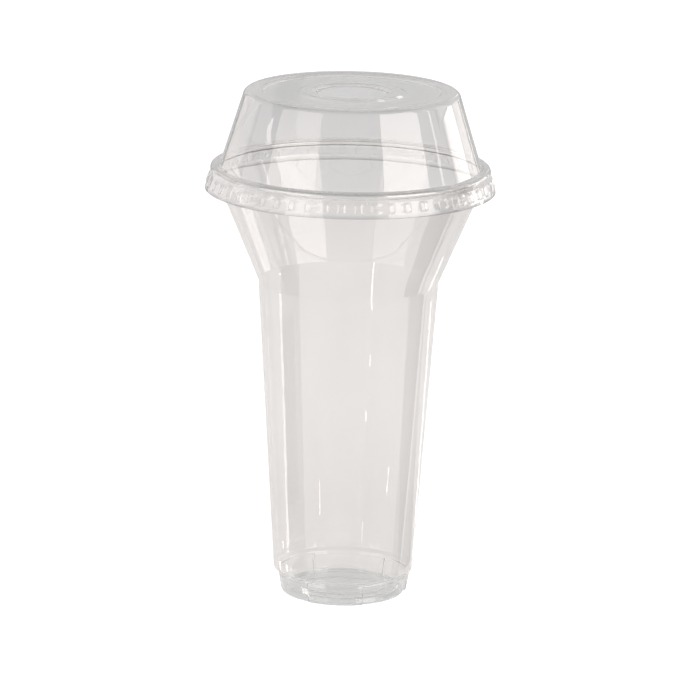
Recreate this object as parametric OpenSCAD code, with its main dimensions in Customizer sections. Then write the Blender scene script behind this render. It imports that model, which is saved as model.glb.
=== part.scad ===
// Clear drink cup with a tall tapered body, a flared top and a push-fit domed lid.
// Each of the two pieces is one thin sheet formed over a mould, so each is drawn as a
// path for its outer face, shifted by the sheet's thickness and turned round the Z axis.
// The origin is the centre of the standing ring, and the cup stands along +Z.

/* [Cup] */
// Height of the cup from the standing ring to the top of the rolled rim
cup_h = 154.8; // [150:0.2:165]
// Thickness of the cup's sheet
cup_wall = 0.4; // [0.3:0.05:0.5]
// Outside diameter of the rolled rim
rim_d = 98; // [94:0.5:102]
// Thickness of the roll itself, seen in section
roll_d = 2.3; // [2:0.1:2.8]
// How far the roll turns past the top of its circle, in degrees
roll_turn = 200; // [150:5:205]
// Height of the straight band that carries the roll
band_h = 4; // [3:0.5:8]
// Outside diameter of the body where the flare starts
neck_d = 63.5; // [60:0.5:68]
// Height at which the flare starts
neck_z = 113.3; // [100:0.5:120]
// Height of the straight land below the flare
land_h = 2.9; // [1.5:0.1:6]
// Outside diameter of the body at its lower end
body_d = 49.7; // [49:0.1:54]

/* [Foot] */
// Height of the ledge at which the body ends and the foot begins
ledge_z = 8.7; // [8.3:0.1:10]
// Outside diameter of the foot where it stands
foot_d = 45.2; // [44.4:0.2:46]
// Outside diameter of the foot at the crown of its lugs
lug_d = 47.5; // [47:0.1:48]
// Height of the crown of the lugs
lug_z = 6.4; // [5.5:0.1:6.6]
// Diameter at the bottom of the groove between the lugs and the ledge
groove_d = 46; // [45.6:0.1:46.4]
// Height of the groove
groove_z = 7.6; // [7.5:0.1:7.8]
// Number of sunk panels between the lugs
panel_count = 3; // [2:1:4]
// How far round the foot each sunk panel reaches, in degrees
panel_angle = 68; // [40:1:75]
// How deep each sunk panel lies below the lugs
panel_depth = 0.7; // [0.4:0.05:0.8]
// Direction of the first sunk panel's middle, in degrees from +X
panel_turn = 83; // [0:1:120]
// Inside diameter of the standing ring
ring_d = 40.4; // [39:0.2:41]
// Height of the floor's underside
floor_z = 1.8; // [1.4:0.1:2.4]
// Diameter of the raised middle of the floor
middle_d = 32.8; // [24:0.2:34]
// How far the middle of the floor is raised
middle_rise = 0.6; // [0.4:0.1:1]

/* [Lid] */
// Thickness of the lid's sheet
lid_wall = 0.35; // [0.3:0.05:0.45]
// Clearance between the lid's channel and the cup's rolled rim
rim_gap = 0.15; // [0.1:0.05:0.3]
// Height of the dome from the top of the channel to the flat top
dome_h = 26.6; // [20:0.2:40]
// Diameter at which the dome's wall would meet the flat top, before rounding
top_d = 75.5; // [68:0.5:80]
// Radius of the dome's shoulder
shoulder_r = 2.2; // [1.5:0.1:3]
// How far inside the rim's middle line the dome's wall comes down
dome_inset = 1.5; // [1.4:0.05:1.6]
// Depth of the groove between the dome's wall and the channel
valley_h = 1; // [0.9:0.05:1.1]
// Inside diameter of the stacking ridge round the flat top
ridge_d = 63.2; // [56:0.2:66]
// Height of the stacking ridge above the flat inside it
ridge_h = 0.8; // [0.5:0.05:1]
// Diameter of the straw hole
hole_d = 24; // [18:0.5:26]
// Width of the flat lip round the straw hole
hole_lip = 1.3; // [1:0.1:2]
// How far the hole's lip lies below the flat
lip_drop = 0.1; // [0.05:0.05:0.3]
// Width of the raised collar round the hole, at its top
collar_w = 3.8; // [2.5:0.1:5]
// Height of the collar above the flat
collar_h = 0.65; // [0.4:0.05:1]

/* [Skirt] */
// Height from the top of the channel to the start of the skirt's flare
waist_h = 3.4; // [3.2:0.1:4.5]
// Height of the skirt's flare
skirt_h = 3.8; // [3.6:0.1:6]
// How far the skirt flares out
skirt_out = 1.4; // [1:0.1:2]
// Height of the plain lip below the flare
edge_h = 1.5; // [1:0.1:2.5]
// How far the lip leans out
edge_out = 0.4; // [0.2:0.1:0.8]
// Number of ribs pressed into the skirt
rib_count = 54; // [24:2:60]
// Width of a rib, outside
rib_w = 2.3; // [1.9:0.1:2.8]
// How far a rib stands out
rib_out = 0.4; // [0.2:0.05:0.5]

/* [Hidden] */
$fn = 180;
// Largest turn of one straight piece of a rounded corner, in degrees
ARC_STEP = 15;
// Corner radii of the cup, from the foot up to the band
CORNER = 0.5;
EDGE_R = 1;
GROOVE_R = 0.4;
LEDGE_R = 0.7;
LAND_R = 2;
NECK_R = 1;
BAND_R = 2;
// Corner radii of the lid, from the hole's lip out to the skirt
LIP_R = 0.5;
TOP_R = 0.6;
COLLAR_R = 0.9;
VALLEY_R = 0.2;
CREST_R = 0.5;
WAIST_R = 0.8;
SKIRT_R = 0.6;
// Slope length of the small steps in the floor and the top of the lid
STEP_RUN = 0.8;
// How far the channel's inner flank leans out from the groove beside the dome
FLANK_RUN = 0.4;
// Height from the end of the skirt's flare to the end of a rib, outside and inside
RIB_END = 0.2;
RIB_END_INSIDE = 0.4;
// How far a cutting shape reaches past the face that it cuts
PAST = 1;

roll_r = roll_d / 2;
roll_c = [rim_d / 2 - roll_r, cup_h - roll_r];
band_r = roll_c[0] - roll_r + cup_wall;
band_z = roll_c[1] - band_h;
ledge = [body_d / 2, ledge_z];
// Angle that the sheet's thickness takes up at the edge of a sunk panel
panel_rim = cup_wall * 180 / (PI * lug_d / 2);

channel_top = cup_h + rim_gap + lid_wall;
channel_r = rim_d / 2 + rim_gap + lid_wall;
channel_corner = roll_r + rim_gap + lid_wall;
top_z = channel_top + dome_h;
flat_z = top_z - ridge_h;
waist_z = channel_top - waist_h;
skirt_z = waist_z - skirt_h;
skirt_r = channel_r + skirt_out;
collar_r = hole_d / 2 + hole_lip + STEP_RUN;

// Paths of [radius, height, corner radius]
function flat(p) = [p[0], p[1]];
function unit(v) = v / norm(v);
function cross2(u, v) = u[0] * v[1] - u[1] * v[0];
function left(u) = [-u[1], u[0]];
function reverse(list) = [for (i = [len(list) - 1:-1:0]) list[i]];
function spun(v, a) = [v[0] * cos(a) - v[1] * sin(a), v[0] * sin(a) + v[1] * cos(a)];

// Points of a circular arc from angle a to angle b
function arc(centre, r, a, b) =
    let (steps = max(2, ceil(abs(b - a) / ARC_STEP)))
    [for (i = [0:steps]) centre + r * [cos(a + (b - a) * i / steps), sin(a + (b - a) * i / steps)]];

// Which way a path turns at b, 1 for left and -1 for right
function side(a, b, c) = cross2(b - a, c - b) < 0 ? -1 : 1;

// Centre of the arc of radius r that rounds the corner at b between the legs from a and to c
function corner_centre(a, b, c, r) =
    let (u = unit(b - a), v = unit(c - b), turn = atan2(abs(cross2(u, v)), u * v))
    b - r * tan(turn / 2) * u + side(a, b, c) * r * left(u);

// Points of that arc, or the corner itself where it is sharp
function corner(a, b, c, r) =
    let (u = unit(b - a), v = unit(c - b), turn = atan2(abs(cross2(u, v)), u * v))
    (r <= 0 || turn < 1) ? [b] :
    let (
        centre = corner_centre(a, b, c, r),
        spoke = -side(a, b, c) * r * left(u),
        steps = max(2, ceil(turn / ARC_STEP))
    )
    [for (i = [0:steps]) centre + spun(spoke, side(a, b, c) * turn * i / steps)];

// A path's points with its corners rounded
function rounded(path) =
    let (last = len(path) - 1)
    [for (i = [0:last])
        each (i == 0 || i == last) ? [flat(path[i])] :
        corner(flat(path[i - 1]), flat(path[i]), flat(path[i + 1]), path[i][2])];

// A path moved sideways by d, to the left where d is positive, with its radii kept concentric
function shifted(path, d) =
    let (
        last = len(path) - 1,
        legs = [for (i = [0:last - 1]) unit(flat(path[i + 1]) - flat(path[i]))]
    )
    [for (i = [0:last])
        let (
            u = legs[max(0, i - 1)],
            v = legs[min(last - 1, i)],
            mitre = (left(u) + left(v)) / (1 + u * v),
            p = flat(path[i]) + d * mitre
        )
        [p[0], p[1], max(0, path[i][2] - d * sign(cross2(u, v)))]];

// Outer face of the cup, from the middle of its underside to the foot of the roll
foot_path = [
    [ring_d / 2, 0, CORNER],
    [foot_d / 2, 0, EDGE_R],
    [lug_d / 2, lug_z, CORNER],
    [groove_d / 2, groove_z, GROOVE_R],
];
cup_path = concat(
    [
        [0, floor_z + middle_rise, 0],
        [middle_d / 2, floor_z + middle_rise, CORNER],
        [middle_d / 2 + STEP_RUN, floor_z, CORNER],
        [ring_d / 2 - STEP_RUN, floor_z, CORNER],
    ],
    foot_path,
    [
        [ledge[0], ledge[1], LEDGE_R],
        [neck_d / 2, neck_z - land_h, LAND_R],
        [neck_d / 2, neck_z, NECK_R],
        [band_r, band_z, BAND_R],
        [band_r, roll_c[1], 0],
    ]
);

// Where the groove above the lugs is deepest
groove_floor = corner_centre(flat(foot_path[2]), flat(foot_path[3]), ledge, GROOVE_R) - [GROOVE_R, 0];

// Outer faces of the foot in a sunk panel and beside it, which both end in the groove
panel_path = [
    [ring_d / 2 + CORNER, 0, 0],
    [foot_d / 2 - panel_depth, 0, EDGE_R],
    [lug_d / 2 - panel_depth, lug_z, EDGE_R],
    [groove_floor[0], groove_floor[1], 0],
];
lug_path = concat([panel_path[0]], [for (i = [1:2]) foot_path[i]], [panel_path[3]]);

// Upper face of the lid, from the hole's edge to the bottom of the skirt
lid_path = [
    [hole_d / 2, flat_z - lip_drop, 0],
    [hole_d / 2 + hole_lip, flat_z - lip_drop, LIP_R],
    [collar_r, flat_z + collar_h, TOP_R],
    [collar_r + collar_w, flat_z + collar_h, TOP_R],
    [collar_r + collar_w + 2 * STEP_RUN, flat_z, COLLAR_R],
    [ridge_d / 2 - STEP_RUN, flat_z, TOP_R],
    [ridge_d / 2, top_z, TOP_R],
    [top_d / 2, top_z, shoulder_r],
    [roll_c[0] - dome_inset, channel_top - valley_h, VALLEY_R],
    [roll_c[0] - dome_inset + FLANK_RUN, channel_top, CREST_R],
    [channel_r, channel_top, channel_corner],
    [channel_r, waist_z, WAIST_R],
    [skirt_r, skirt_z, SKIRT_R],
    [skirt_r + edge_out, skirt_z - edge_h, 0],
];

// The sheet between a path and the same path moved sideways by d
module sheet(path, d) {
    rotate_extrude() polygon(concat(rounded(path), reverse(rounded(shifted(path, d)))));
}

// A section turned through an angle, with the middle of its arc in the direction turn
module sector(angle, turn) {
    rotate([0, 0, turn - angle / 2]) rotate_extrude(angle = angle) children();
}

// The sunk panels' sections, each reaching through an angle
module sunk_panels(angle) {
    for (i = [0:panel_count - 1]) sector(angle, panel_turn + i * 360 / panel_count) children();
}

// Section of the cup's sheet with the rolled rim
module cup_section() {
    polygon(concat(
        rounded(cup_path),
        arc(roll_c, roll_r - cup_wall, 180, 90 - roll_turn),
        reverse(arc(roll_c, roll_r, 180, 90 - roll_turn)),
        reverse(rounded(shifted(cup_path, cup_wall)))
    ));
}

// Section of the wall that a sunk panel brings inwards
module panel_wall_section() {
    polygon(concat(
        rounded(shifted(panel_path, cup_wall)),
        reverse(rounded(shifted(lug_path, cup_wall / 2)))
    ));
}

// Section of the space in front of a sunk panel
module panel_space_section() {
    face = rounded(panel_path);
    polygon(concat(
        [for (i = [1:len(face) - 1]) face[i]],
        [[ledge[0] + PAST, groove_floor[1]], [ledge[0] + PAST, -PAST], [face[1][0], -PAST]]
    ));
}

module cup() {
    color([0.90, 0.91, 0.91, 0.45])
    difference() {
        union() {
            rotate_extrude() cup_section();
            sunk_panels(panel_angle + 2 * panel_rim) panel_wall_section();
        }
        sunk_panels(panel_angle) panel_space_section();
    }
}

// Radius of the skirt's outer face at height z
function skirt_at(z) = channel_r + skirt_out * (waist_z - z) / skirt_h;

// Section of a rib: its face lies depth below rib_out, its back reaches back into the skirt,
// and it ends at the height end inside each end of the flare
module rib_section(depth, back, end) {
    tip = rib_out + end;
    polygon([
        [skirt_at(waist_z - end) - back, waist_z - end],
        [skirt_at(waist_z - tip) + rib_out - depth, waist_z - tip],
        [skirt_at(skirt_z + tip) + rib_out - depth, skirt_z + tip],
        [skirt_at(skirt_z + end) - back, skirt_z + end],
    ]);
}

// Ribs of a width, spaced evenly round the skirt
module ribs(width) {
    for (i = [0:rib_count - 1])
        sector(width * 180 / (PI * skirt_r), i * 360 / rib_count) children();
}

module lid() {
    color([0.88, 0.90, 0.91, 0.45])
    difference() {
        union() {
            sheet(lid_path, -lid_wall);
            ribs(rib_w) rib_section(0, lid_wall / 2, RIB_END);
        }
        ribs(rib_w - 2 * lid_wall) rib_section(lid_wall, lid_wall + PAST, RIB_END_INSIDE);
    }
}

cup();
lid();
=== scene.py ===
"""Dresses the clear drink cup and its domed lid, and sets them on a pale studio floor."""

import math

import bmesh
import bpy
from bpy.props import FloatProperty, FloatVectorProperty, IntProperty, PointerProperty
from mathutils import Matrix, Quaternion, Vector, noise


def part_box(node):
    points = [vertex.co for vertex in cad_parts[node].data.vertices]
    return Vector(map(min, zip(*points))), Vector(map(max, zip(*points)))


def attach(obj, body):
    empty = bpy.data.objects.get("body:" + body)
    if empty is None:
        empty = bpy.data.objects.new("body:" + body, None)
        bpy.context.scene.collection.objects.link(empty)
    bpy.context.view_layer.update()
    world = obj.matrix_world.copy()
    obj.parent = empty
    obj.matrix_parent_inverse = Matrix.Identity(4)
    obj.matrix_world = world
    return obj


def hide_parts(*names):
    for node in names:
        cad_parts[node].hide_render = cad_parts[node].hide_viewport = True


bl_info = {
    "name": "Clear Cup and Domed Lid",
    "version": (1, 0, 0),
    "blender": (4, 5, 0),
    "location": "3D View > Sidebar > Clear Cup",
    "description": "Builds a clear drink cup with a domed push-fit lid on a studio floor",
    "category": "Add Mesh",
}

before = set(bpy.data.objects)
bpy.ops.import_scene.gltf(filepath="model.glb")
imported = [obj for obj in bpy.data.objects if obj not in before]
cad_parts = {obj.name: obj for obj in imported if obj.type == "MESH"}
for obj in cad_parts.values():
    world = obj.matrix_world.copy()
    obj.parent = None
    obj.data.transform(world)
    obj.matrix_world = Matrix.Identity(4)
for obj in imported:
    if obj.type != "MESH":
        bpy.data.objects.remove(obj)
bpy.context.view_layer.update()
CUP_LOW, CUP_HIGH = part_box("cup")
_, LID_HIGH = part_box("lid")

MM = 0.001

# Roundings of the corners, from the foot of the cup up to its rim
FLOOR_ROUND = 0.5 * MM
FOOT_ROUND = 1.0 * MM
CROWN_ROUND = 0.5 * MM
GROOVE_ROUND = 0.4 * MM
LEDGE_ROUND = 0.7 * MM
LAND_ROUND = 2.0 * MM
NECK_ROUND = 1.0 * MM
BAND_ROUND = 2.0 * MM
# Roundings of the lid, from the hole's lip out to the skirt
LIP_ROUND = 0.5 * MM
TOP_ROUND = 0.6 * MM
COLLAR_ROUND = 0.9 * MM
VALLEY_ROUND = 0.2 * MM
CREST_ROUND = 0.5 * MM
WAIST_ROUND = 0.8 * MM
SKIRT_ROUND = 0.6 * MM
# Slope length of the small steps in the floor and the top
STEP_RUN = 0.8 * MM
# How far the channel's inner flank leans out from the groove beside the dome
FLANK_RUN = 0.4 * MM
# Rounding of the cut edges of the sheet
EDGE_ROUND = 0.04 * MM
EDGE_SEGMENTS = 3

# Fineness of the mesh: columns round the cup, the most that one step of a rounding turns and
# the fewest steps it has, and the tallest row
CUP_COLUMNS = 360
ROUND_STEP = math.radians(13)
FEWEST_STEPS = 3
LONGEST_ROW = 4.5 * MM
# Distance within which vertices are one, and the angle from which an edge is sharp
MERGE = 0.001 * MM
SHARP_ANGLE = math.radians(24)

# Attribute that holds how far the sheet was drawn: nothing on the flats, all on the walls
DRAWN = "drawn"
# Height over which the draw fades in from each end of a wall
DRAWN_FADE = 7.0 * MM
# How far the drawn walls stay off the rim's band, the lid's channel and its shoulder
BAND_CLEAR = 6.0 * MM
CHANNEL_CLEAR = 3.0 * MM
SHOULDER_CLEAR = 1.0 * MM
# Attribute that marks the cut edges, and the angle between faces that tells them
CUT = "cut"
CUT_ANGLE = math.radians(70)

# Waves that forming leaves in the drawn walls: depth, how many there are, and a seed for each
WAVE_DEPTH = 0.014 * MM
WAVES_ROUND = 9.0
WAVES_UP = 22.0
CUP_SEED = 0.0
LID_SEED = 7.0

# Half the angle over which a sunk panel's side slopes, how far above the lugs' crown the panel
# starts to fade, and how far below the groove it has ended
PANEL_BLEND = math.radians(0.5)
PANEL_FADE = 0.1 * MM
PANEL_END = 0.2 * MM

# Columns across one rib: place as a share of the pitch, and share of the rib's height
RIB_SECTION = (
    (0.0, 1.0),
    (0.13, 1.0),
    (0.195, 0.5),
    (0.26, 0.0),
    (0.50, 0.0),
    (0.74, 0.0),
    (0.805, 0.5),
    (0.87, 1.0),
)
COLUMNS_PER_RIB = len(RIB_SECTION)
# Where a rib starts and where it is full, from the flare's top down and from its foot up
RIB_START = 0.1 * MM
RIB_FULL = 0.7 * MM
# The columns draw together towards the ribs' flanks from this far above the flare's top, until
# this far below it, and what is higher than the zone isn't touched
GATHER_START = 1.2 * MM
GATHER_FULL = 0.1 * MM
RIB_ZONE = 1.5 * MM
# Cuts across the skirt's flare, and what tells its edge in the outline: the least length, and
# how far past the flare's top and foot it may reach
SKIRT_CUTS = 9
SKIRT_EDGE = 1.5 * MM
SKIRT_ABOVE = 0.2 * MM
SKIRT_BELOW = 0.3 * MM


class CupSizes(bpy.types.PropertyGroup):
    """Sizes of the cup"""

    height: FloatProperty(
        name="Height",
        description="Height of the rim above the floor",
        default=CUP_HIGH.z,
        unit="LENGTH",
    )
    rim_diameter: FloatProperty(
        name="Rim",
        description="Outside diameter of the rolled rim",
        default=CUP_HIGH.x - CUP_LOW.x,
        unit="LENGTH",
    )
    wall: FloatProperty(
        name="Sheet",
        description="Thickness of the cup's sheet",
        default=0.4 * MM,
        unit="LENGTH",
    )
    roll_thickness: FloatProperty(
        name="Roll",
        description="Thickness of the rim's roll, seen in section",
        default=2.3 * MM,
        unit="LENGTH",
    )
    roll_turn: FloatProperty(
        name="Roll Turn",
        description="How far the rim rolls past the top of its circle",
        default=math.radians(200),
        subtype="ANGLE",
    )
    band_height: FloatProperty(
        name="Band",
        description="Height of the straight band that carries the roll",
        default=4.0 * MM,
        unit="LENGTH",
    )
    neck_diameter: FloatProperty(
        name="Neck Diameter",
        description="Outside diameter of the body where the flare starts",
        default=63.5 * MM,
        unit="LENGTH",
    )
    neck_height: FloatProperty(
        name="Neck Height",
        description="Height at which the flare starts",
        default=113.3 * MM,
        unit="LENGTH",
    )
    land_height: FloatProperty(
        name="Land",
        description="Height of the straight land below the flare",
        default=2.9 * MM,
        unit="LENGTH",
    )
    body_diameter: FloatProperty(
        name="Body Diameter",
        description="Outside diameter of the body at its lower end",
        default=49.7 * MM,
        unit="LENGTH",
    )
    ledge_height: FloatProperty(
        name="Ledge",
        description="Height of the ledge between the foot and the body",
        default=8.7 * MM,
        unit="LENGTH",
    )
    foot_diameter: FloatProperty(
        name="Foot Diameter",
        description="Outside diameter of the foot where it stands",
        default=45.2 * MM,
        unit="LENGTH",
    )
    lug_diameter: FloatProperty(
        name="Lug Diameter",
        description="Outside diameter of the foot at the crown of its lugs",
        default=47.5 * MM,
        unit="LENGTH",
    )
    lug_height: FloatProperty(
        name="Lug Height",
        description="Height of the crown of the lugs",
        default=6.4 * MM,
        unit="LENGTH",
    )
    groove_diameter: FloatProperty(
        name="Groove Diameter",
        description="Diameter of the groove between the lugs and the ledge",
        default=46.0 * MM,
        unit="LENGTH",
    )
    groove_height: FloatProperty(
        name="Groove Height",
        description="Height of the groove between the lugs and the ledge",
        default=7.6 * MM,
        unit="LENGTH",
    )
    panel_count: IntProperty(
        name="Panels",
        description="Number of sunk panels in the foot",
        default=3,
        min=1,
    )
    panel_angle: FloatProperty(
        name="Panel Angle",
        description="How far round the foot each sunk panel reaches",
        default=math.radians(69),
        subtype="ANGLE",
    )
    panel_depth: FloatProperty(
        name="Panel Depth",
        description="How deep each sunk panel lies below the lugs",
        default=0.7 * MM,
        unit="LENGTH",
    )
    panel_turn: FloatProperty(
        name="Panel Turn",
        description="Direction of the first panel's middle from the X axis",
        default=math.radians(83),
        subtype="ANGLE",
    )
    ring_diameter: FloatProperty(
        name="Ring Diameter",
        description="Inside diameter of the standing ring",
        default=40.4 * MM,
        unit="LENGTH",
    )
    floor_height: FloatProperty(
        name="Floor Height",
        description="Height of the floor's underside",
        default=1.8 * MM,
        unit="LENGTH",
    )
    middle_diameter: FloatProperty(
        name="Middle Diameter",
        description="Diameter of the raised middle of the floor",
        default=32.8 * MM,
        unit="LENGTH",
    )
    middle_rise: FloatProperty(
        name="Middle Rise",
        description="How far the middle of the floor is raised",
        default=0.6 * MM,
        unit="LENGTH",
    )


class LidSizes(bpy.types.PropertyGroup):
    """Sizes of the lid"""

    wall: FloatProperty(
        name="Sheet",
        description="Thickness of the lid's sheet",
        default=0.35 * MM,
        unit="LENGTH",
    )
    rim_gap: FloatProperty(
        name="Rim Gap",
        description="Clearance between the lid's channel and the cup's rim",
        default=0.15 * MM,
        unit="LENGTH",
    )
    top_height: FloatProperty(
        name="Top Height",
        description="Height of the lid's highest ring above the floor",
        default=LID_HIGH.z,
        unit="LENGTH",
    )
    top_diameter: FloatProperty(
        name="Top Diameter",
        description="Diameter at which the dome's wall would meet the top",
        default=75.5 * MM,
        unit="LENGTH",
    )
    shoulder: FloatProperty(
        name="Shoulder",
        description="Radius of the dome's shoulder",
        default=2.2 * MM,
        unit="LENGTH",
    )
    dome_inset: FloatProperty(
        name="Dome Inset",
        description="How far inside the rim's middle line the dome comes down",
        default=1.5 * MM,
        unit="LENGTH",
    )
    valley_depth: FloatProperty(
        name="Valley Depth",
        description="Depth of the groove between the dome and the channel",
        default=1.0 * MM,
        unit="LENGTH",
    )
    ridge_diameter: FloatProperty(
        name="Ridge Diameter",
        description="Inside diameter of the stacking ridge",
        default=63.2 * MM,
        unit="LENGTH",
    )
    ridge_height: FloatProperty(
        name="Ridge Height",
        description="Height of the stacking ridge above the flat inside it",
        default=0.8 * MM,
        unit="LENGTH",
    )
    hole_diameter: FloatProperty(
        name="Hole",
        description="Diameter of the straw hole",
        default=24.0 * MM,
        unit="LENGTH",
    )
    hole_lip: FloatProperty(
        name="Hole Lip",
        description="Width of the flat lip round the straw hole",
        default=1.3 * MM,
        unit="LENGTH",
    )
    lip_drop: FloatProperty(
        name="Lip Drop",
        description="How far the hole's lip lies below the flat",
        default=0.1 * MM,
        unit="LENGTH",
    )
    collar_width: FloatProperty(
        name="Collar Width",
        description="Width of the raised collar round the hole",
        default=3.8 * MM,
        unit="LENGTH",
    )
    collar_height: FloatProperty(
        name="Collar Height",
        description="Height of the collar above the flat",
        default=0.65 * MM,
        unit="LENGTH",
    )
    waist_height: FloatProperty(
        name="Waist",
        description="Height from the channel's top to the skirt's flare",
        default=3.4 * MM,
        unit="LENGTH",
    )
    skirt_height: FloatProperty(
        name="Skirt",
        description="Height of the skirt's flare",
        default=3.8 * MM,
        unit="LENGTH",
    )
    skirt_spread: FloatProperty(
        name="Skirt Spread",
        description="How far the skirt flares out",
        default=1.4 * MM,
        unit="LENGTH",
    )
    lip_height: FloatProperty(
        name="Lip Height",
        description="Height of the plain lip below the flare",
        default=1.5 * MM,
        unit="LENGTH",
    )
    lip_spread: FloatProperty(
        name="Lip Spread",
        description="How far the plain lip leans out",
        default=0.4 * MM,
        unit="LENGTH",
    )
    rib_count: IntProperty(
        name="Ribs",
        description="Number of ribs pressed into the skirt",
        default=54,
        min=3,
    )
    rib_height: FloatProperty(
        name="Rib Height",
        description="How far a rib stands out of the skirt",
        default=0.4 * MM,
        unit="LENGTH",
    )


class ClearFinish(bpy.types.PropertyGroup):
    """Look of the clear sheet"""

    tint: FloatVectorProperty(
        name="Tint",
        description="Colour that the sheet passes where it is clearest",
        subtype="COLOR",
        size=3,
        min=0,
        max=1,
        default=(0.985, 0.983, 0.981),
    )
    haze: FloatVectorProperty(
        name="Haze",
        description="Colour that the sheet passes where it is cloudiest",
        subtype="COLOR",
        size=3,
        min=0,
        max=1,
        default=(0.957, 0.955, 0.952),
    )
    refraction: FloatProperty(
        name="Refraction",
        description="Index of refraction of the sheet",
        default=1.57,
        min=1,
        max=2,
    )
    drag: FloatProperty(
        name="Drag Marks",
        description="Depth of the marks that forming leaves in the sheet",
        default=0.012 * MM,
        unit="LENGTH",
    )


class StudioSettings(bpy.types.PropertyGroup):
    """The studio round the cup"""

    camera_distance: FloatProperty(
        name="Camera Distance",
        description="Distance from the cup's axis to the camera, along the floor",
        default=1.8517,
        unit="LENGTH",
    )
    camera_height: FloatProperty(
        name="Camera Height",
        description="Height of the camera above the floor",
        default=0.5375,
        unit="LENGTH",
    )
    aim_height: FloatProperty(
        name="Aim Height",
        description="Height on the cup's axis that the camera looks at",
        default=0.08806,
        unit="LENGTH",
    )
    focal_length: FloatProperty(
        name="Focal Length",
        description="Focal length of the camera on a 36 mm sensor, in millimetres",
        default=276.07,
        min=1,
    )
    roll: FloatProperty(
        name="Roll",
        description="How far the camera leans to the left",
        default=math.radians(1.123),
        subtype="ANGLE",
    )
    side_shift: FloatProperty(
        name="Side Shift",
        description="Sideways shift of the camera, as a share of the picture",
        default=0.00419,
    )
    room_light: FloatProperty(
        name="Room Light",
        description="Brightness of the room round the lamps",
        default=0.60,
        min=0,
    )


# Outlines, as corners of radius, height and rounding


def cup_outline(sizes):
    """Corners of the cup's outer face, from the middle of its underside to the foot of the roll."""
    ring = sizes.ring_diameter / 2
    middle = sizes.middle_diameter / 2
    raised = sizes.floor_height + sizes.middle_rise
    roll_radius = sizes.roll_thickness / 2
    roll_middle = sizes.rim_diameter / 2 - roll_radius
    band = roll_middle - roll_radius + sizes.wall
    roll_height = sizes.height - roll_radius
    return [
        (0.0, raised, 0.0),
        (middle, raised, FLOOR_ROUND),
        (middle + STEP_RUN, sizes.floor_height, FLOOR_ROUND),
        (ring - STEP_RUN, sizes.floor_height, FLOOR_ROUND),
        (ring, 0.0, FLOOR_ROUND),
        (sizes.foot_diameter / 2, 0.0, FOOT_ROUND),
        (sizes.lug_diameter / 2, sizes.lug_height, CROWN_ROUND),
        (sizes.groove_diameter / 2, sizes.groove_height, GROOVE_ROUND),
        (sizes.body_diameter / 2, sizes.ledge_height, LEDGE_ROUND),
        (sizes.neck_diameter / 2, sizes.neck_height - sizes.land_height, LAND_ROUND),
        (sizes.neck_diameter / 2, sizes.neck_height, NECK_ROUND),
        (band, roll_height - sizes.band_height, BAND_ROUND),
        (band, roll_height, 0.0),
    ]


def skirt_ends(sizes, cup):
    """Heights at which the skirt's flare starts, below the channel, and ends, above the lip."""
    waist = cup.height + sizes.rim_gap + sizes.wall - sizes.waist_height
    return waist, waist - sizes.skirt_height


def lid_outline(sizes, cup):
    """Corners of the lid's upper face, from the edge of the hole to the bottom of the skirt."""
    roll_radius = cup.roll_thickness / 2
    roll_middle = cup.rim_diameter / 2 - roll_radius
    channel_top = cup.height + sizes.rim_gap + sizes.wall
    channel = cup.rim_diameter / 2 + sizes.rim_gap + sizes.wall
    channel_round = roll_radius + sizes.rim_gap + sizes.wall
    top = sizes.top_height
    flat = top - sizes.ridge_height
    collar_top = flat + sizes.collar_height
    hole = sizes.hole_diameter / 2
    lip = hole + sizes.hole_lip
    collar_in = lip + STEP_RUN
    collar_out = collar_in + sizes.collar_width
    ridge = sizes.ridge_diameter / 2
    valley = roll_middle - sizes.dome_inset
    waist, skirt = skirt_ends(sizes, cup)
    spread = channel + sizes.skirt_spread
    return [
        (hole, flat - sizes.lip_drop, 0.0),
        (lip, flat - sizes.lip_drop, LIP_ROUND),
        (collar_in, collar_top, TOP_ROUND),
        (collar_out, collar_top, TOP_ROUND),
        (collar_out + 2 * STEP_RUN, flat, COLLAR_ROUND),
        (ridge - STEP_RUN, flat, TOP_ROUND),
        (ridge, top, TOP_ROUND),
        (sizes.top_diameter / 2, top, sizes.shoulder),
        (valley, channel_top - sizes.valley_depth, VALLEY_ROUND),
        (valley + FLANK_RUN, channel_top, CREST_ROUND),
        (channel, channel_top, channel_round),
        (channel, waist, WAIST_ROUND),
        (spread, skirt, SKIRT_ROUND),
        (spread + sizes.lip_spread, skirt - sizes.lip_height, 0.0),
    ]


# Working the sheet


def round_corner(bm, corner, rounding):
    """Rounds one corner of a wire outline to a radius."""
    before, after = [edge.other_vert(corner).co for edge in corner.link_edges]
    turn = math.pi - (before - corner.co).angle(after - corner.co)
    bmesh.ops.bevel(
        bm,
        geom=[corner],
        offset=rounding * math.tan(turn / 2),
        offset_type="OFFSET",
        segments=max(FEWEST_STEPS, math.ceil(turn / ROUND_STEP)),
        profile=0.5,
        affect="VERTICES",
        material=-1,
    )


def draw_outline(bm, corners):
    """Draws a wire through corners of radius, height and rounding, and returns its last vertex."""
    verts = [bm.verts.new((radius, 0.0, height)) for radius, height, _ in corners]
    for start, end in zip(verts, verts[1:]):
        bm.edges.new((start, end))
    for vert, (_, _, rounding) in zip(verts, corners):
        if rounding > 0:
            round_corner(bm, vert, rounding)
    return verts[-1]


def roll_rim(bm, last, sizes):
    """Rolls the outline on from its last vertex round the middle of the rim's roll."""
    radius = sizes.roll_thickness / 2
    middle = Vector((sizes.rim_diameter / 2 - radius, 0.0, sizes.height - radius))
    turn = math.pi / 2 + sizes.roll_turn
    bmesh.ops.spin(
        bm,
        geom=[last],
        cent=middle,
        axis=(0, 1, 0),
        angle=turn,
        steps=math.ceil(turn / ROUND_STEP),
        use_merge=False,
    )


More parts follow.
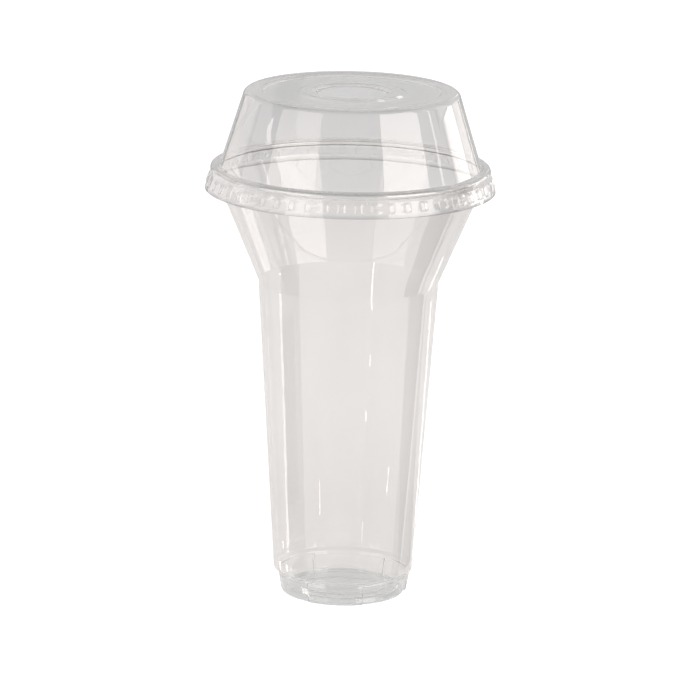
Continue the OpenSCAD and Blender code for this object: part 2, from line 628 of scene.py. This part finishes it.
def divide_long_rows(bm, longest):
    """Divides the outline's long straight stretches so that no row is taller than longest."""
    for edge in bm.edges[:]:
        cuts = math.ceil(edge.calc_length() / longest) - 1
        if cuts > 0:
            bmesh.ops.subdivide_edges(bm, edges=[edge], cuts=cuts)


def turn_outline(bm, columns):
    """Turns the outline round the cup's axis into a surface, and closes its pole and seam."""
    bmesh.ops.spin(
        bm,
        geom=bm.verts[:] + bm.edges[:],
        cent=(0, 0, 0),
        axis=(0, 0, 1),
        angle=math.tau,
        steps=columns,
        use_merge=True,
    )
    bmesh.ops.remove_doubles(bm, verts=bm.verts[:], dist=MERGE)
    bmesh.ops.dissolve_degenerate(bm, edges=bm.edges[:], dist=MERGE)


def face_outwards(bm, height):
    """Turns every face so that the wall nearest to a height faces away from the axis."""
    bmesh.ops.recalc_face_normals(bm, faces=bm.faces[:])
    wall = min(bm.faces, key=lambda face: abs(face.calc_center_median().z - height))
    if wall.normal.dot(wall.calc_center_median() * Vector((1, 1, 0))) < 0:
        bmesh.ops.reverse_faces(bm, faces=bm.faces[:])


def smooth_step(low, high, value):
    """0 below low, 1 above high and an even curve between them."""
    share = min(max((value - low) / (high - low), 0.0), 1.0)
    return share * share * (3 - 2 * share)


def scale_radius(vert, move):
    """Moves a vertex outwards from the axis."""
    radius = vert.co.xy.length
    if radius > 0:
        vert.co.x *= (radius + move) / radius
        vert.co.y *= (radius + move) / radius


def drawn_share(height, low, high):
    """How far the sheet was drawn at a height: all between low and high, nothing past them."""
    rise = smooth_step(low, low + DRAWN_FADE, height)
    return rise * (1 - smooth_step(high - DRAWN_FADE, high, height))


def wave_at(co, seed):
    """Depth of the sheet's unevenness at a point, in metres, from 0 inwards."""
    angle = math.atan2(co.y, co.x)
    place = Vector(
        (WAVES_ROUND * math.cos(angle), WAVES_ROUND * math.sin(angle), WAVES_UP * co.z + seed)
    )
    return WAVE_DEPTH * (noise.noise(place) - 1) / 2


def wave_walls(bm, low, high, seed):
    """Gives the drawn walls between two heights the slight waves of a formed sheet."""
    for vert in bm.verts:
        scale_radius(vert, wave_at(vert.co, seed) * drawn_share(vert.co.z, low, high))


def give_thickness(bm, wall, low, high):
    """Gives the sheet its thickness, marks what is drawn and what is cut, and rounds the cuts."""
    bmesh.ops.solidify(bm, geom=bm.faces[:], thickness=wall)
    bm.normal_update()
    drawn = bm.verts.layers.float.new(DRAWN)
    for vert in bm.verts:
        vert[drawn] = drawn_share(vert.co.z, low, high)
    cut = {edge for edge in bm.edges if edge.is_manifold and edge.calc_face_angle() > CUT_ANGLE}
    rough = bm.faces.layers.float.new(CUT)
    for face in bm.faces:
        face[rough] = float(len(cut.intersection(face.edges)) > 1)
    rounded = bmesh.ops.bevel(
        bm,
        geom=list(cut),
        offset=EDGE_ROUND,
        offset_type="OFFSET",
        segments=EDGE_SEGMENTS,
        profile=0.5,
        affect="EDGES",
        material=-1,
    )
    for face in rounded["faces"]:
        face[rough] = 1.0


def finish_piece(name, bm, material, body, node):
    """Makes the piece's object, and lets it ride on its body in place of its CAD node."""
    mesh = bpy.data.meshes.new(name)
    bm.to_mesh(mesh)
    bm.free()
    mesh.shade_smooth()
    mesh.set_sharp_from_angle(angle=SHARP_ANGLE)
    mesh.materials.append(material)
    piece = bpy.data.objects.new(name, mesh)
    bpy.context.scene.collection.objects.link(piece)
    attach(piece, body)
    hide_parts(node)
    return piece


# The cup


def sink_panels(bm, sizes):
    """Presses the sunk panels into the foot, between its lugs."""
    ring = sizes.ring_diameter / 2 + FLOOR_ROUND
    foot = sizes.foot_diameter / 2 - FOOT_ROUND
    full = sizes.lug_height + PANEL_FADE
    end = sizes.groove_height - PANEL_END
    half = sizes.panel_angle / 2
    pitch = math.tau / sizes.panel_count
    for vert in bm.verts:
        radius = vert.co.xy.length
        if vert.co.z > sizes.groove_height or radius < ring:
            continue
        angle = math.atan2(vert.co.y, vert.co.x) - sizes.panel_turn
        off = abs((angle + pitch / 2) % pitch - pitch / 2)
        across = 1 - smooth_step(half - PANEL_BLEND, half + PANEL_BLEND, off)
        up = 1 - smooth_step(full, end, vert.co.z)
        along = min((radius - ring) / (foot - ring), 1.0)
        scale_radius(vert, -sizes.panel_depth * across * up * along)


class CLEARCUP_OT_cup(bpy.types.Operator):
    """Builds the cup: floor, foot, body, flare and rolled rim as one formed sheet"""

    bl_idname = "clearcup.cup"
    bl_label = "Build Cup"

    def execute(self, context):
        sizes = context.scene.clear_cup
        bm = bmesh.new()
        last = draw_outline(bm, cup_outline(sizes))
        roll_rim(bm, last, sizes)
        divide_long_rows(bm, LONGEST_ROW)
        turn_outline(bm, CUP_COLUMNS)
        face_outwards(bm, sizes.neck_height / 2)
        sink_panels(bm, sizes)
        low, high = sizes.ledge_height, sizes.height - BAND_CLEAR
        wave_walls(bm, low, high, CUP_SEED)
        give_thickness(bm, sizes.wall, low, high)
        material = clear_sheet("cup_sheet", context.scene.clear_finish)
        finish_piece("clear_cup", bm, material, "cup", "cup")
        return {"FINISHED"}


# The lid


def divide_skirt(bm, waist, skirt):
    """Divides the skirt's flare so that the ribs can end inside it."""
    for edge in bm.edges[:]:
        heights = [vert.co.z for vert in edge.verts]
        inside = max(heights) < waist + SKIRT_ABOVE and min(heights) > skirt - SKIRT_BELOW
        if inside and edge.calc_length() > SKIRT_EDGE:
            bmesh.ops.subdivide_edges(bm, edges=[edge], cuts=SKIRT_CUTS)


def press_ribs(bm, sizes, cup):
    """Presses the ribs into the skirt, and draws the columns together at their flanks."""
    waist, skirt = skirt_ends(sizes, cup)
    pitch = math.tau / sizes.rib_count
    step = pitch / COLUMNS_PER_RIB
    for vert in bm.verts:
        if vert.co.z > waist + RIB_ZONE or vert.co.xy.length < cup.rim_diameter / 2:
            continue
        angle = math.atan2(vert.co.y, vert.co.x)
        column = round(angle / step) % COLUMNS_PER_RIB
        place, height = RIB_SECTION[column]
        gather = 1 - smooth_step(waist - GATHER_FULL, waist + GATHER_START, vert.co.z)
        shift = (place * pitch - column * step) * gather
        top = 1 - smooth_step(waist - RIB_FULL, waist - RIB_START, vert.co.z)
        bottom = smooth_step(skirt + RIB_START, skirt + RIB_FULL, vert.co.z)
        radius = vert.co.xy.length + sizes.rib_height * height * top * bottom
        vert.co.x = radius * math.cos(angle + shift)
        vert.co.y = radius * math.sin(angle + shift)


class CLEARCUP_OT_lid(bpy.types.Operator):
    """Builds the lid: flat top with its hole, dome, channel and ribbed skirt as one formed sheet"""

    bl_idname = "clearcup.lid"
    bl_label = "Build Lid"

    def execute(self, context):
        sizes = context.scene.clear_lid
        cup = context.scene.clear_cup
        bm = bmesh.new()
        draw_outline(bm, lid_outline(sizes, cup))
        divide_skirt(bm, *skirt_ends(sizes, cup))
        divide_long_rows(bm, LONGEST_ROW)
        turn_outline(bm, sizes.rib_count * COLUMNS_PER_RIB)
        face_outwards(bm, (cup.height + sizes.top_height) / 2)
        press_ribs(bm, sizes, cup)
        low, high = cup.height + CHANNEL_CLEAR, sizes.top_height - SHOULDER_CLEAR
        wave_walls(bm, low, high, LID_SEED)
        give_thickness(bm, sizes.wall, low, high)
        material = clear_sheet("lid_sheet", context.scene.clear_finish)
        finish_piece("domed_lid", bm, material, "lid", "lid")
        return {"FINISHED"}


# Materials

# Middle range of a noise's values
NOISE_LOW = 0.3
NOISE_HIGH = 0.7
# Clouds of haze in the sheet, and fine marks along the draw: stretch, scale and detail
CLOUDS = ((1, 1, 0.35), 55, 3)
MARKS = ((1, 1, 0.12), 420, 2)
# Roughness that the marks and the cut leave on the sheet
MARKS_ROUGHNESS = 0.02
CUT_ROUGHNESS = 0.4
# Share of lamplight that one face of the sheet lets through, for each colour
LAMP_TINT = (0.95, 0.948, 0.945)


def new_material(name):
    """Starts a material and returns it with its node tree and its output node."""
    material = bpy.data.materials.new(name)
    material.use_nodes = True
    tree = material.node_tree
    tree.nodes.clear()
    return material, tree, tree.nodes.new("ShaderNodeOutputMaterial")


def noise_on_piece(tree, stretch, scale, detail):
    """Adds a noise on the piece's own coordinates, stretched along Z, and returns its value."""
    place = tree.nodes.new("ShaderNodeTexCoord")
    mapping = tree.nodes.new("ShaderNodeMapping")
    mapping.inputs["Scale"].default_value = stretch
    pattern = tree.nodes.new("ShaderNodeTexNoise")
    pattern.inputs["Scale"].default_value = scale
    pattern.inputs["Detail"].default_value = detail
    tree.links.new(place.outputs["Object"], mapping.inputs["Vector"])
    tree.links.new(mapping.outputs["Vector"], pattern.inputs["Vector"])
    return pattern.outputs["Fac"]


def between(tree, value, low, high):
    """Maps a noise value to a range."""
    spread = tree.nodes.new("ShaderNodeMapRange")
    spread.inputs["From Min"].default_value = NOISE_LOW
    spread.inputs["From Max"].default_value = NOISE_HIGH
    spread.inputs["To Min"].default_value = low
    spread.inputs["To Max"].default_value = high
    tree.links.new(value, spread.inputs["Value"])
    return spread.outputs["Result"]


def mix_colours(tree, factor, first, second):
    """Mixes two colours, each plain or a socket, by a factor."""
    node = tree.nodes.new("ShaderNodeMix")
    node.data_type = "RGBA"
    tree.links.new(factor, node.inputs["Factor"])
    for value, name in ((first, "A"), (second, "B")):
        if isinstance(value, bpy.types.NodeSocket):
            tree.links.new(value, node.inputs[name])
        else:
            node.inputs[name].default_value = (*value, 1)
    return node.outputs["Result"]


def calculate(tree, operation, first, second):
    """Joins two values, each a number or a socket, by one step of arithmetic."""
    node = tree.nodes.new("ShaderNodeMath")
    node.operation = operation
    for value, socket in zip((first, second), node.inputs):
        if isinstance(value, float):
            socket.default_value = value
        else:
            tree.links.new(value, socket)
    return node.outputs["Value"]


def lamps_pass(tree, surface, tint):
    """Lets lamplight through the sheet without bending it, for a soft clean shadow."""
    rays = tree.nodes.new("ShaderNodeLightPath")
    either = calculate(
        tree, "MAXIMUM", rays.outputs["Is Shadow Ray"], rays.outputs["Is Diffuse Ray"]
    )
    clear = tree.nodes.new("ShaderNodeBsdfTransparent")
    clear.inputs["Color"].default_value = (*tint, 1)
    mix = tree.nodes.new("ShaderNodeMixShader")
    tree.links.new(either, mix.inputs["Fac"])
    tree.links.new(surface, mix.inputs[1])
    tree.links.new(clear.outputs["BSDF"], mix.inputs[2])
    return mix.outputs["Shader"]


def clear_sheet(name, finish):
    """Clear formed plastic: a faint tint and haze, fine marks on the drawn walls, matt cuts."""
    material, tree, output = new_material(name)
    shader = tree.nodes.new("ShaderNodeBsdfPrincipled")
    shader.inputs["Transmission Weight"].default_value = 1.0
    shader.inputs["IOR"].default_value = finish.refraction
    clouds = noise_on_piece(tree, *CLOUDS)
    colour = mix_colours(tree, between(tree, clouds, 0, 1), finish.tint, finish.haze)
    tree.links.new(colour, shader.inputs["Base Color"])
    marks = noise_on_piece(tree, *MARKS)
    cut = tree.nodes.new("ShaderNodeAttribute")
    cut.attribute_name = CUT
    sawn = calculate(tree, "MULTIPLY", cut.outputs["Fac"], CUT_ROUGHNESS)
    rough = calculate(tree, "ADD", between(tree, marks, 0.0, MARKS_ROUGHNESS), sawn)
    tree.links.new(rough, shader.inputs["Roughness"])
    bump = tree.nodes.new("ShaderNodeBump")
    bump.inputs["Strength"].default_value = 1.0
    bump.inputs["Distance"].default_value = finish.drag
    drawn = tree.nodes.new("ShaderNodeAttribute")
    drawn.attribute_name = DRAWN
    depth = calculate(tree, "MULTIPLY", marks, drawn.outputs["Fac"])
    tree.links.new(depth, bump.inputs["Height"])
    tree.links.new(bump.outputs["Normal"], shader.inputs["Normal"])
    surface = lamps_pass(tree, shader.outputs["BSDF"], LAMP_TINT)
    tree.links.new(surface, output.inputs["Surface"])
    return material


# The stage

# Half the floor's width in metres, and how far below the cup it lies
FLOOR_REACH = 10.0
FLOOR_DROP = 0.2 * MM
# Bounces that let light out of the sheet again after it ran along inside it
LIGHT_BOUNCES = 144
# Faces of the sheet that lamplight may pass straight on its way to the paper
CLEAR_BOUNCES = 32
# Light that the floor adds where it is seen directly, so that it reads as white paper
PAPER_WHITE = 0.55
PAPER_ROUGHNESS = 0.9
# Grain of the paper, as stretch, scale and detail, and what its darkest specks keep of the tone
PAPER_GRAIN = ((1, 1, 1), 300, 2)
GRAIN_DARKEST = 0.97
# Width of the camera's sensor in millimetres
SENSOR_WIDTH = 36.0
# Brightness of the room where the camera sees it, and its colour in the sheet
ROOM_WHITE = 1.0
ROOM_COLOUR = (1.0, 0.995, 0.99)
# Elevations between which the room darkens towards its ceiling, and what is left of it there
CEILING_FROM = math.radians(44)
CEILING_TO = math.radians(58)
CEILING_SHARE = 0.3
LAMP_COLOUR = (1.0, 0.95, 0.92)
# Lamps: direction in degrees, distance, width, foot and top in metres, brightness, the share of
# it that is lost at the top, and the share of the width over which each side fades in
LAMPS = {
    "left_softbox": (-55.5, 1.2, 1.09, 0.2, 1.3, 2.0, 0.35, 0.02),
    "right_softbox": (52.3, 1.2, 0.98, 0.2, 1.3, 3.1, 0.25, 0.02),
    "edge_lamp": (89.3, 1.2, 0.05, 0.2, 1.0, 2.4, 0.0, 0.0),
    "rear_patch": (113.0, 0.5, 0.30, 0.27, 0.50, 1.1, 0.0, 0.2),
}
# Lamps that only the sheet's near side mirrors: on the right of the dome, on the collar round
# the hole and on the lid's left
NEAR_SIDE_LAMPS = {
    "rear_lamp": (115.0, 0.5, 0.24, 0.1, 0.262, 5.0, 0.0, 0.25),
    "rear_side": (136.0, 0.5, 0.17, 0.08, 0.24, 0.9, 0.0, 0.1),
    "rear_streak": (148.0, 0.5, 0.02, 0.08, 0.24, 3.0, 0.0, 0.3),
    "back_strip": (166.0, 1.2, 0.05, 0.35, 1.5, 2.5, 0.0, 0.3),
    "left_rear": (-130.0, 0.5, 0.42, 0.05, 0.4, 1.2, 0.0, 0.2),
}
# Cards that only the far side's inside mirrors: a glow at the left and a shade at the right
FAR_SIDE_LAMPS = {
    "left_glow": (134.0, 0.5, 0.22, 0.13, 0.27, 2.2, 0.0, 0.2),
    "right_shade": (-135.0, 0.5, 0.1, 0.19, 0.28, 0.1, 0.0, 0.3),
}
# Small lamps beside the cup that leave the short glints on its body, its ledge and its foot
GLINTS = {
    "upper_glint": (25.0, 0.07, 0.0016, 0.0736, 0.0782, 7.0, 0.0, 0.0),
    "middle_glint": (23.0, 0.07, 0.0016, 0.0525, 0.0564, 7.0, 0.0, 0.0),
    "right_glint": (56.6, 0.07, 0.0016, 0.0233, 0.0339, 6.0, 0.0, 0.0),
    "left_glint": (-30.9, 0.07, 0.0016, 0.0156, 0.0289, 6.0, 0.0, 0.0),
    "low_glint": (24.4, 0.07, 0.0014, 0.0052, 0.0131, 5.0, 0.0, 0.0),
    "foot_glint": (-40.0, 0.0253, 0.0047, 0.0006, 0.0035, 6.0, 0.0, 0.0),
    "ledge_glint": (-73.3, 0.0276, 0.002, 0.0075, 0.011, 6.0, 0.0, 0.3),
    "low_left_glint": (-61.3, 0.0283, 0.0025, 0.008, 0.011, 5.0, 0.0, 0.3),
    "high_left_glint": (-64.6, 0.0282, 0.002, 0.0165, 0.0195, 4.0, 0.0, 0.3),
}
# Narrow lamp that leans along the flare and leaves the long glint across the neck: the middles
# of its foot and top in metres, its width and its brightness
NECK_GLINT = ((0.0099, -0.0326, 0.109), (0.0099, -0.0378, 0.1224), 0.0007, 7.0)
# Flags beside the cup that draw the long upright bands on its body: point that the fan starts
# from, where it starts and ends along the fan, height at its end, the azimuths of its sides,
# brightness, and whether it is the sheet's near side that mirrors it
FLAGS = {
    "right_band": ((0.022, -0.016, 0.0), 0.015, 0.19, 0.15, 84.0, 113.0, 0.02, True),
    "right_edge": ((0.022, -0.016, 0.0), 0.015, 0.19, 0.15, 113.0, 118.0, 1.5, True),
    "left_band": ((-0.022, 0.016, 0.0), 0.07, 0.24, 0.15, 72.0, 102.0, 0.02, False),
    "left_edge": ((-0.022, 0.016, 0.0), 0.056, 0.1, 0.09, 102.0, 107.0, 3.0, False),
    "left_shade": ((-0.022, -0.015, 0.0), 0.095, 0.105, 0.07, -100.0, -71.0, 0.35, True),
}
# Fill above the cup that lights the paper only: height, side and brightness
FILL = (2.0, 3.2, 1.53)
FILL_COLOUR = (1.0, 1.0, 1.0)
# Tones of the paper outwards from the cup, with painted shade in them: the darker, greyer disc
# under the cup is a painted contact shadow, and the darker tone far out is painted fall-off of
# the lamps' light: distance in metres, and colour
PAPER_SHADE_TONES = (
    (0.022, (0.69, 0.705, 0.717)),
    (0.03, (0.73, 0.715, 0.705)),
    (0.11, (0.71, 0.692, 0.685)),
    (0.27, (0.76, 0.742, 0.735)),
    (0.55, (0.772, 0.751, 0.744)),
    (0.9, (0.664, 0.663, 0.669)),
)


def stage_object(name, bm, material):
    """Makes an object of the stage from a mesh in place."""
    mesh = bpy.data.meshes.new(name)
    bm.to_mesh(mesh)
    bm.free()
    mesh.materials.append(material)
    thing = bpy.data.objects.new(name, mesh)
    bpy.context.scene.collection.objects.link(thing)
    return thing


def direction(azimuth):
    """Level unit vector towards an azimuth, from the front towards the right."""
    turn = math.radians(azimuth)
    return Vector((math.sin(turn), -math.cos(turn), 0))


def glow(name, brightness, fade, soft, tint=LAMP_COLOUR):
    """Light of a lamp's cloth, weaker towards its top and fading in from its sides."""
    material, tree, output = new_material(name)
    light = tree.nodes.new("ShaderNodeEmission")
    light.inputs["Color"].default_value = (*tint, 1)
    place = tree.nodes.new("ShaderNodeTexCoord")
    parts = tree.nodes.new("ShaderNodeSeparateXYZ")
    tree.links.new(place.outputs["Generated"], parts.inputs["Vector"])
    strength = tree.nodes.new("ShaderNodeMapRange")
    strength.inputs["To Min"].default_value = brightness
    strength.inputs["To Max"].default_value = brightness * (1 - fade)
    tree.links.new(parts.outputs["Z"], strength.inputs["Value"])
    if soft > 0:
        inward = calculate(tree, "SUBTRACT", 1.0, parts.outputs["X"])
        nearest = calculate(tree, "MINIMUM", parts.outputs["X"], inward)
        side = tree.nodes.new("ShaderNodeMapRange")
        side.interpolation_type = "SMOOTHSTEP"
        side.inputs["From Max"].default_value = soft
        tree.links.new(nearest, side.inputs["Value"])
        product = calculate(tree, "MULTIPLY", side.outputs["Result"], strength.outputs["Result"])
        tree.links.new(product, light.inputs["Strength"])
    else:
        tree.links.new(strength.outputs["Result"], light.inputs["Strength"])
    tree.links.new(light.outputs["Emission"], output.inputs["Surface"])
    return material


def card(width, height, lean):
    """Starts a flat card with its middle at the origin, leaning about the X axis."""
    bm = bmesh.new()
    bmesh.ops.create_grid(bm, x_segments=1, y_segments=1, size=0.5)
    bmesh.ops.scale(bm, vec=(width, height, 1), verts=bm.verts[:])
    turn = Matrix.Rotation(lean, 3, "X")
    bmesh.ops.rotate(bm, cent=(0, 0, 0), matrix=turn, verts=bm.verts[:])
    return bm


def add_lamp(name, azimuth, distance, width, low, high, brightness, fade, soft):
    """Stands a lamp upright, facing the cup, and hides it from the camera itself."""
    bm = card(width, high - low, math.pi / 2)
    bmesh.ops.translate(bm, vec=(0, -distance, (low + high) / 2), verts=bm.verts[:])
    turn = Matrix.Rotation(math.radians(azimuth), 3, "Z")
    bmesh.ops.rotate(bm, cent=(0, 0, 0), matrix=turn, verts=bm.verts[:])
    lamp = stage_object(name, bm, glow(name + "_light", brightness, fade, soft))
    lamp.visible_camera = False
    return lamp


def add_leaning_lamp(name, foot, top, width, brightness):
    """Stretches a narrow lamp between two points that have the same X."""
    along = Vector(top) - Vector(foot)
    bm = card(width, along.length, math.atan2(along.z, along.y))
    bmesh.ops.translate(bm, vec=Vector(foot).lerp(Vector(top), 0.5), verts=bm.verts[:])
    return stage_object(name, bm, glow(name + "_light", brightness, 0.0, 0.0))


def show_in_sheet_only(thing, near_side):
    """Lets one side of the sheet mirror a card of the stage, and keeps its light off the rest."""
    thing.visible_camera = False
    thing.visible_diffuse = False
    thing.visible_shadow = False
    thing.visible_glossy = near_side
    thing.visible_transmission = not near_side


def add_fill(height, side, brightness):
    """Hangs a soft fill over the stage that lights the paper and shows nowhere in the sheet."""
    bm = bmesh.new()
    bmesh.ops.create_grid(bm, x_segments=1, y_segments=1, size=side / 2)
    bmesh.ops.translate(bm, vec=(0, 0, height), verts=bm.verts[:])
    fill = stage_object("top_fill", bm, glow("top_fill_light", brightness, 0.0, 0.0, FILL_COLOUR))
    fill.visible_camera = False
    fill.visible_glossy = False
    fill.visible_transmission = False


def add_flag(name, corner, start, end, height, first, last, brightness, near_side):
    """Fans a flag up from the floor beside the cup, mirrored by one side of the sheet only."""
    bm = card(1, 1, 0)
    for vert in bm.verts:
        along, across = vert.co.x + 0.5, vert.co.y + 0.5
        towards = direction(first + (last - first) * across)
        reach = start + (end - start) * along
        vert.co = Vector(corner) + towards * reach + Vector((0, 0, height * along))
    flag = stage_object(name, bm, glow(name + "_light", brightness, 0.0, 0.0))
    show_in_sheet_only(flag, near_side)


def paper():
    """Pale studio paper with a faint grain and painted shade: a painted contact shadow under the
    cup and painted fall-off of light far out. It is lit to white where it is seen directly.
    """
    material, tree, output = new_material("studio_paper")
    shader = tree.nodes.new("ShaderNodeBsdfPrincipled")
    shader.inputs["Roughness"].default_value = PAPER_ROUGHNESS
    shader.inputs["Specular IOR Level"].default_value = 0.0
    place = tree.nodes.new("ShaderNodeTexCoord")
    reach = tree.nodes.new("ShaderNodeVectorMath")
    reach.operation = "LENGTH"
    tree.links.new(place.outputs["Object"], reach.inputs[0])
    # Painted shade: this ramp darkens the paper under the cup as a contact shadow and far out as
    # fall-off of light
    shade_ramp = tree.nodes.new("ShaderNodeValToRGB")
    stops = shade_ramp.color_ramp.elements
    while len(stops) < len(PAPER_SHADE_TONES):
        stops.new(1.0)
    for stop, (distance, colour) in zip(stops, PAPER_SHADE_TONES):
        stop.position = distance
        stop.color = (*colour, 1)
    tree.links.new(reach.outputs["Value"], shade_ramp.inputs["Fac"])
    colour = shade_ramp.outputs["Color"]
    grain = between(tree, noise_on_piece(tree, *PAPER_GRAIN), GRAIN_DARKEST, 1.0)
    shade = mix_colours(tree, grain, (0, 0, 0), colour)
    tree.links.new(shade, shader.inputs["Base Color"])
    rays = tree.nodes.new("ShaderNodeLightPath")
    seen = calculate(tree, "MULTIPLY", rays.outputs["Is Camera Ray"], PAPER_WHITE)
    shader.inputs["Emission Color"].default_value = (1, 1, 1, 1)
    tree.links.new(seen, shader.inputs["Emission Strength"])
    tree.links.new(shader.outputs["BSDF"], output.inputs["Surface"])
    return material


def add_floor():
    """Lays the pale floor just under the cup."""
    bm = bmesh.new()
    bmesh.ops.create_grid(bm, x_segments=1, y_segments=1, size=FLOOR_REACH)
    bmesh.ops.translate(bm, vec=(0, 0, -FLOOR_DROP), verts=bm.verts[:])
    return stage_object("studio_floor", bm, paper())


def set_room(strength):
    """Sets an even room with a darker ceiling for the sheet to mirror, white where it is seen."""
    world = bpy.data.worlds.new("studio_room")
    world.use_nodes = True
    tree = world.node_tree
    tree.nodes.clear()
    output = tree.nodes.new("ShaderNodeOutputWorld")
    room = tree.nodes.new("ShaderNodeBackground")
    room.inputs["Color"].default_value = (*ROOM_COLOUR, 1)
    place = tree.nodes.new("ShaderNodeTexCoord")
    parts = tree.nodes.new("ShaderNodeSeparateXYZ")
    tree.links.new(place.outputs["Generated"], parts.inputs["Vector"])
    ceiling = tree.nodes.new("ShaderNodeMapRange")
    ceiling.interpolation_type = "SMOOTHSTEP"
    ceiling.inputs["From Min"].default_value = math.sin(CEILING_FROM)
    ceiling.inputs["From Max"].default_value = math.sin(CEILING_TO)
    ceiling.inputs["To Min"].default_value = strength
    ceiling.inputs["To Max"].default_value = strength * CEILING_SHARE
    tree.links.new(parts.outputs["Z"], ceiling.inputs["Value"])
    tree.links.new(ceiling.outputs["Result"], room.inputs["Strength"])
    white = tree.nodes.new("ShaderNodeBackground")
    white.inputs["Strength"].default_value = ROOM_WHITE
    white.inputs["Color"].default_value = (1, 1, 1, 1)
    rays = tree.nodes.new("ShaderNodeLightPath")
    mix = tree.nodes.new("ShaderNodeMixShader")
    tree.links.new(rays.outputs["Is Camera Ray"], mix.inputs["Fac"])
    tree.links.new(room.outputs["Background"], mix.inputs[1])
    tree.links.new(white.outputs["Background"], mix.inputs[2])
    tree.links.new(mix.outputs["Shader"], output.inputs["Surface"])
    bpy.context.scene.world = world


def add_camera(studio):
    """Sets the camera up at the photograph's viewing angle."""
    data = bpy.data.cameras.new("camera")
    data.sensor_width = SENSOR_WIDTH
    data.lens = studio.focal_length
    data.shift_x = studio.side_shift
    camera = bpy.data.objects.new("camera", data)
    camera.location = (0, -studio.camera_distance, studio.camera_height)
    look = Vector((0, 0, studio.aim_height)) - camera.location
    camera.rotation_mode = "QUATERNION"
    level = look.to_track_quat("-Z", "Y")
    camera.rotation_quaternion = Quaternion(look.normalized(), -studio.roll) @ level
    bpy.context.scene.collection.objects.link(camera)
    bpy.context.scene.camera = camera


class CLEARCUP_OT_stage(bpy.types.Operator):
    """Sets the stage: floor, room, lamps, flags and camera"""

    bl_idname = "clearcup.stage"
    bl_label = "Set Stage"

    def execute(self, context):
        scene = context.scene
        studio = scene.clear_studio
        add_floor()
        set_room(studio.room_light)
        for name, values in LAMPS.items():
            add_lamp(name, *values)
        for name, values in {**NEAR_SIDE_LAMPS, **GLINTS}.items():
            show_in_sheet_only(add_lamp(name, *values), True)
        show_in_sheet_only(add_leaning_lamp("neck_glint", *NECK_GLINT), True)
        for name, values in FAR_SIDE_LAMPS.items():
            show_in_sheet_only(add_lamp(name, *values), False)
        add_fill(*FILL)
        for name, values in FLAGS.items():
            add_flag(name, *values)
        add_camera(studio)
        scene.view_settings.view_transform = "Standard"
        scene.cycles.max_bounces = LIGHT_BOUNCES
        scene.cycles.transmission_bounces = LIGHT_BOUNCES
        scene.cycles.glossy_bounces = LIGHT_BOUNCES
        scene.cycles.transparent_max_bounces = CLEAR_BOUNCES
        return {"FINISHED"}


class CLEARCUP_PT_panel(bpy.types.Panel):
    """Lists the steps that build the cup, its lid and the stage"""

    bl_idname = "CLEARCUP_PT_panel"
    bl_label = "Clear Cup"
    bl_space_type = "VIEW_3D"
    bl_region_type = "UI"
    bl_category = "Clear Cup"

    def draw(self, context):
        for step in STEPS:
            self.layout.operator(step.bl_idname)


STEPS = (CLEARCUP_OT_stage, CLEARCUP_OT_cup, CLEARCUP_OT_lid)
SETTINGS = {
    "clear_cup": CupSizes,
    "clear_lid": LidSizes,
    "clear_finish": ClearFinish,
    "clear_studio": StudioSettings,
}


def register():
    for name, group in SETTINGS.items():
        bpy.utils.register_class(group)
        setattr(bpy.types.Scene, name, PointerProperty(type=group))
    for step in STEPS:
        bpy.utils.register_class(step)
    bpy.utils.register_class(CLEARCUP_PT_panel)


def unregister():
    bpy.utils.unregister_class(CLEARCUP_PT_panel)
    for step in reversed(STEPS):
        bpy.utils.unregister_class(step)
    for name, group in SETTINGS.items():
        delattr(bpy.types.Scene, name)
        bpy.utils.unregister_class(group)


def main():
    register()
    bpy.ops.clearcup.stage()
    bpy.ops.clearcup.cup()
    bpy.ops.clearcup.lid()


if __name__ == "__main__":
    main()
